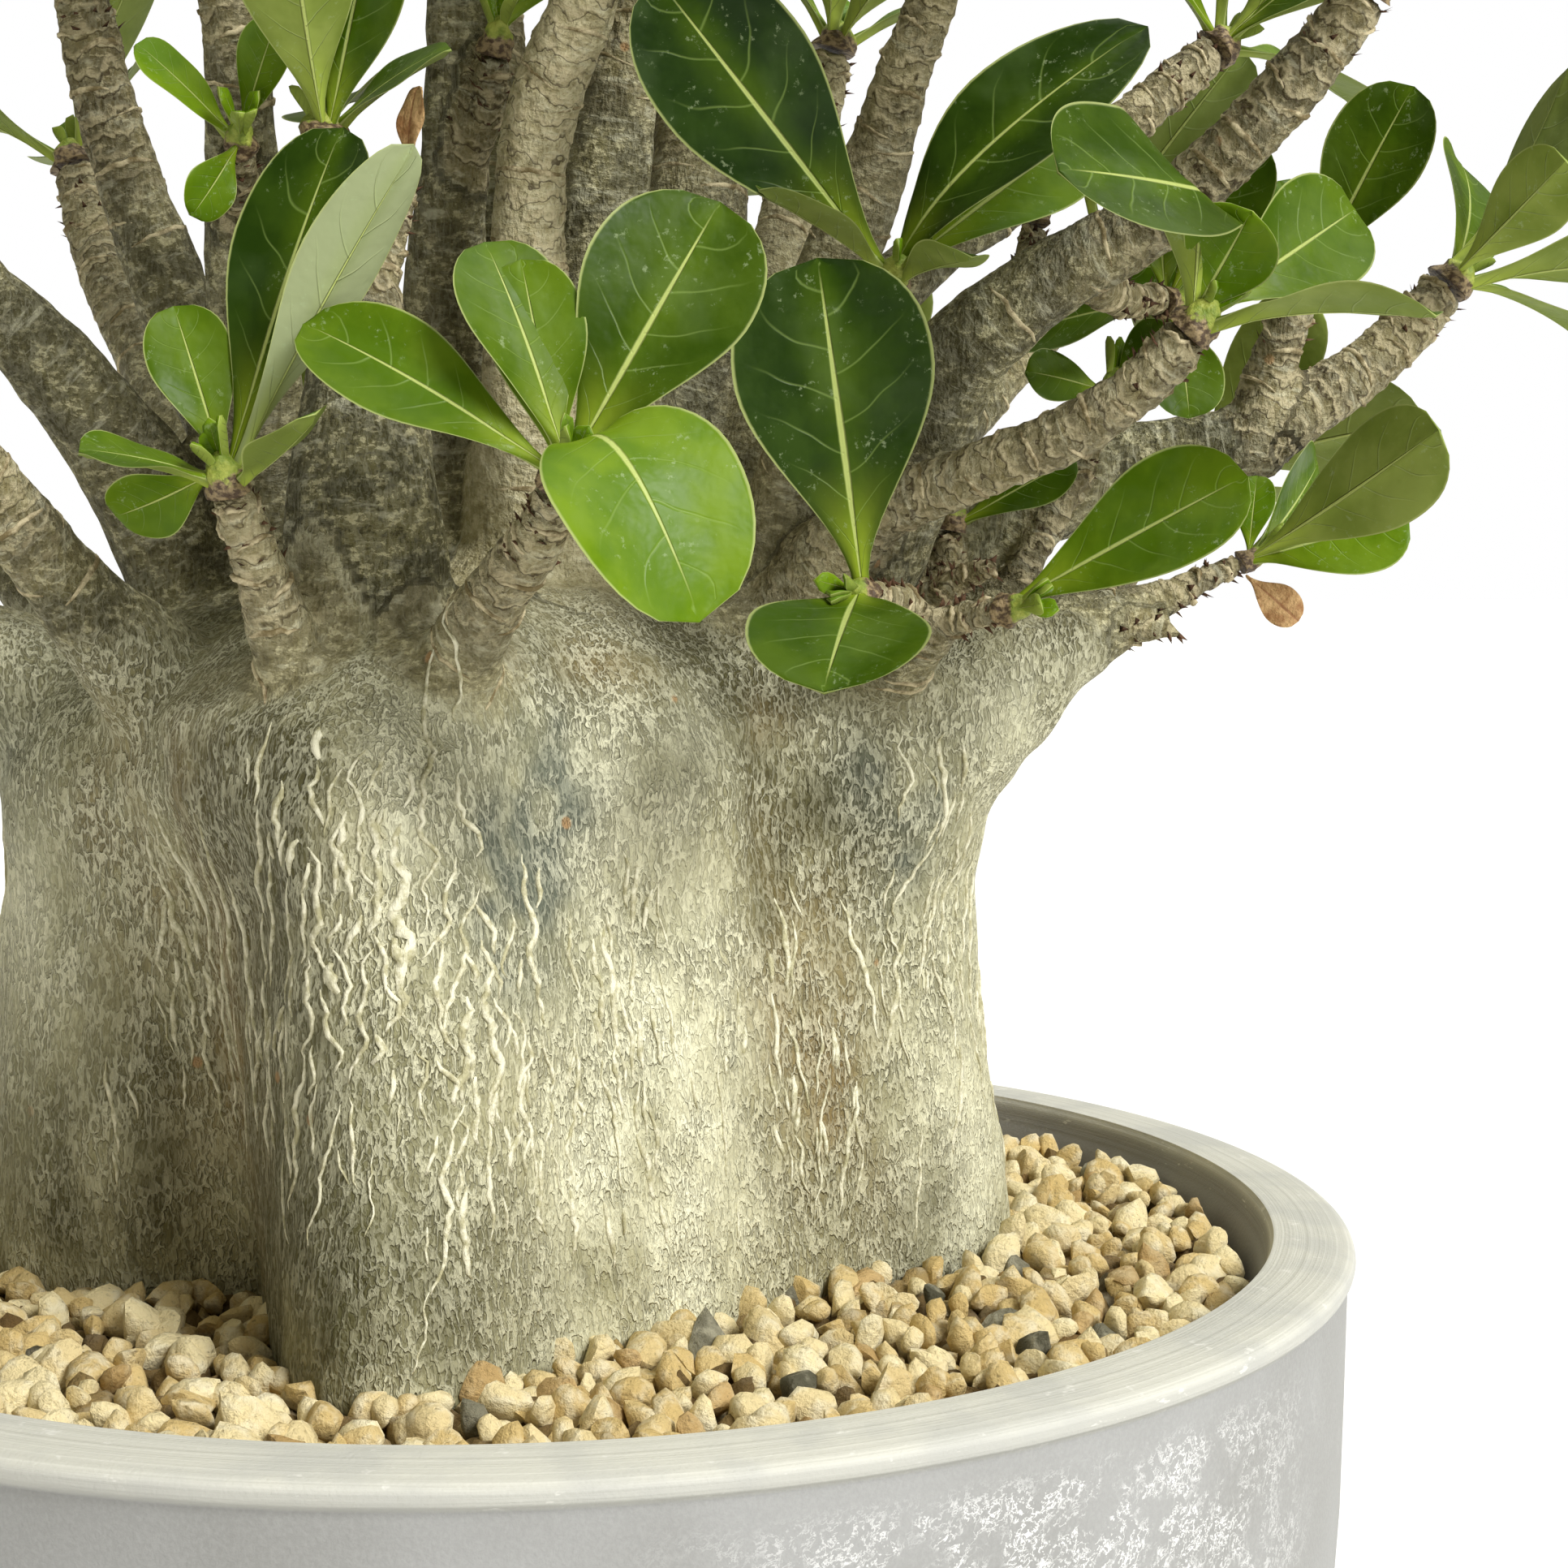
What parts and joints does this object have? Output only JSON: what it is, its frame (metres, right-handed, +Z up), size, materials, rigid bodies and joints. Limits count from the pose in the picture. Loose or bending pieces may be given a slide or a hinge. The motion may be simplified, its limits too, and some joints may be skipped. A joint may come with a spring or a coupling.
{
  "type": "potted desert rose",
  "caption": "Bonsai desert rose with a squat fluted caudex, a crown of short branches with leaf rosettes, coarse gravel and a round grey stoneware bonsai pot.",
  "frame": {"origin": "middle of the pot's flat underside, on the surface it stands on", "axes": "+Z up along the pot's axis; -Y towards the viewer, where the caudex's longest lobe points; +X to the viewer's right"},
  "size_m": [0.3601, 0.2744, 0.3526],
  "materials": {
    "stoneware": "matte",
    "root_mix": "matte",
    "gravel": "matte",
    "bark": "matte",
    "leaf": "satin",
    "dry_leaf": "matte"
  },
  "bodies": {
    "root": {"caudex_and_branches": "bark", "dry_leaf_left": "dry_leaf", "dry_leaf_right": "dry_leaf", "gravel": "gravel", "pot": "stoneware", "root_mix": "root_mix", "rosette_a1": "leaf", "rosette_a10": "leaf", "rosette_a10_up": "leaf", "rosette_a11_out": "leaf", "rosette_a11_up": "leaf", "rosette_a12": "leaf", "rosette_a13": "leaf", "rosette_a13_right": "leaf", "rosette_a14": "leaf", "rosette_a15": "leaf", "rosette_a16": "leaf", "rosette_a2": "leaf", "rosette_a3": "leaf", "rosette_a4": "leaf", "rosette_a5": "leaf", "rosette_a5_spur": "leaf", "rosette_a6": "leaf", "rosette_a6_spur": "leaf", "rosette_a7": "leaf", "rosette_a8": "leaf", "rosette_a8_low": "leaf", "rosette_a8_spur": "leaf", "rosette_a9": "leaf", "rosette_b1": "leaf", "rosette_b10": "leaf", "rosette_b11": "leaf", "rosette_b12": "leaf", "rosette_b13": "leaf", "rosette_b14": "leaf", "rosette_b2": "leaf", "rosette_b3": "leaf", "rosette_b4": "leaf", "rosette_b5": "leaf", "rosette_b6": "leaf", "rosette_b7": "leaf", "rosette_b8": "leaf", "rosette_b9": "leaf", "rosette_twig1": "leaf", "rosette_twig2": "leaf", "rosette_twig3": "leaf", "rosette_twig4": "leaf"}
  },
  "joints": []
}
